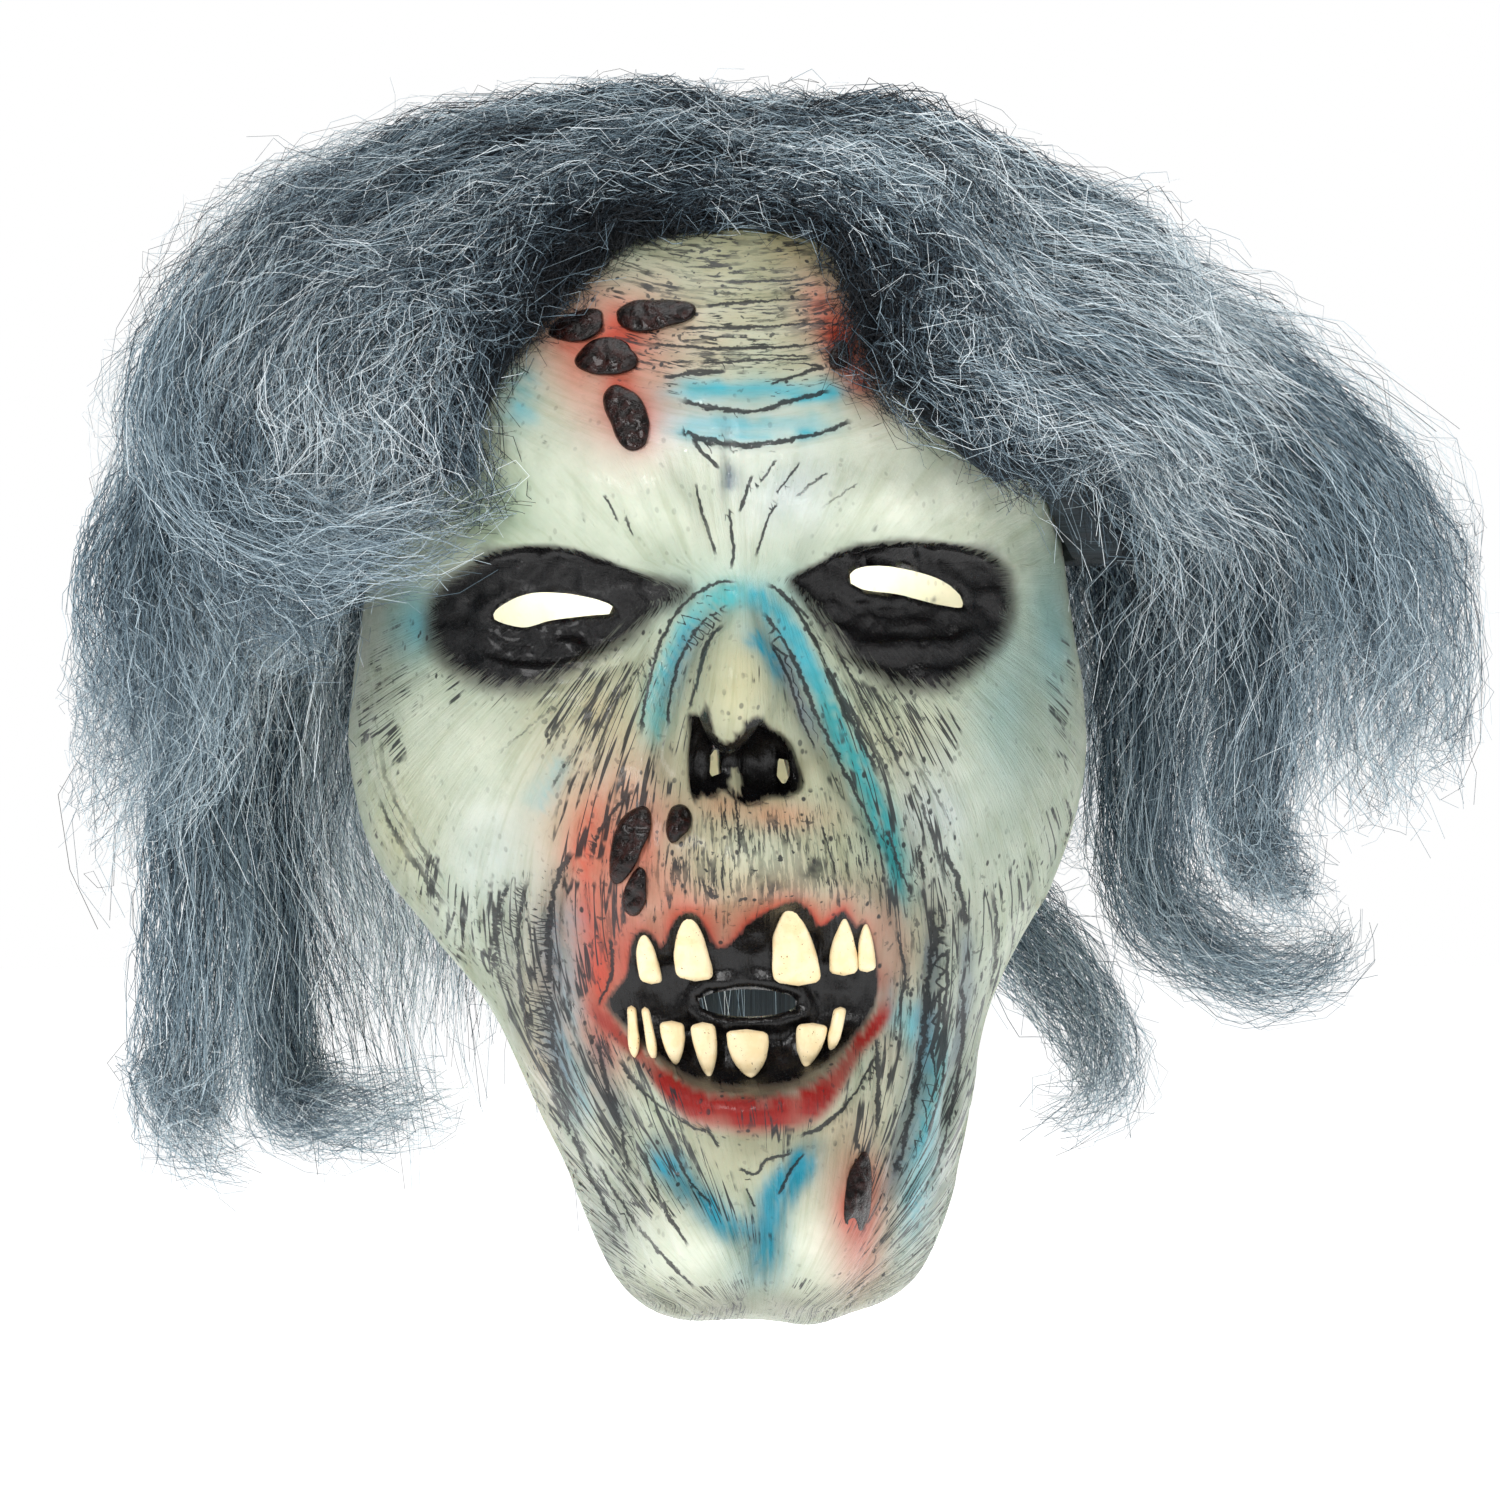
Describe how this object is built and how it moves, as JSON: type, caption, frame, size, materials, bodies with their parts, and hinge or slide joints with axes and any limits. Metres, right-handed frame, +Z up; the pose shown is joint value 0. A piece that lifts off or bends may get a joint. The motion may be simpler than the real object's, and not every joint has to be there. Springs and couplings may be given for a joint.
{
  "type": "latex halloween mask",
  "caption": "Overhead latex zombie mask with painted grey-green skin, dark eye sockets, jagged teeth, scabs and a long grey-blue hair mane.",
  "frame": {"origin": "middle of the wearer's head, level with the eye holes", "axes": "-Y is the way the face looks, +X is to the right seen from the front, +Z is up; the head leaves along -Z"},
  "size_m": [0.3551, 0.2585, 0.3127],
  "materials": {
    "latex_skin": "cast latex, airbrushed and dry-brushed, semi-gloss",
    "teeth": "cream resin, satin with stained roots",
    "scabs": "cured gel, dark red to black, wet gloss",
    "hair_track": "stitched woven band, matt",
    "hair": "frizzy synthetic fibre, grey-blue, soft sheen"
  },
  "bodies": {
    "root": {"latex_shell": "latex_skin", "upper_tooth_1": "teeth", "upper_tooth_2": "teeth", "upper_tooth_3": "teeth", "upper_tooth_4": "teeth", "upper_tooth_5": "teeth", "lower_tooth_1": "teeth", "lower_tooth_2": "teeth", "lower_tooth_3": "teeth", "lower_tooth_4": "teeth", "lower_tooth_5": "teeth", "lower_tooth_6": "teeth", "lower_tooth_7": "teeth", "forehead_scab_1": "scabs", "forehead_scab_2": "scabs", "forehead_scab_3": "scabs", "forehead_scab_4": "scabs", "hairline_scab": "scabs", "cheek_scab_1": "scabs", "cheek_scab_2": "scabs", "cheek_scab_3": "scabs", "chin_scab": "scabs", "hair_track_left": "hair_track", "hair_track_right": "hair_track", "weft_left_1": "hair", "weft_left_2": "hair", "weft_left_3": "hair", "weft_left_4": "hair", "weft_left_5": "hair", "weft_left_6": "hair", "weft_right_1": "hair", "weft_right_2": "hair", "weft_right_3": "hair", "weft_right_4": "hair", "weft_right_5": "hair", "weft_right_6": "hair", "curl_left_1": "hair", "curl_left_2": "hair", "curl_right_1": "hair", "curl_right_2": "hair", "curl_right_3": "hair"}
  },
  "joints": []
}
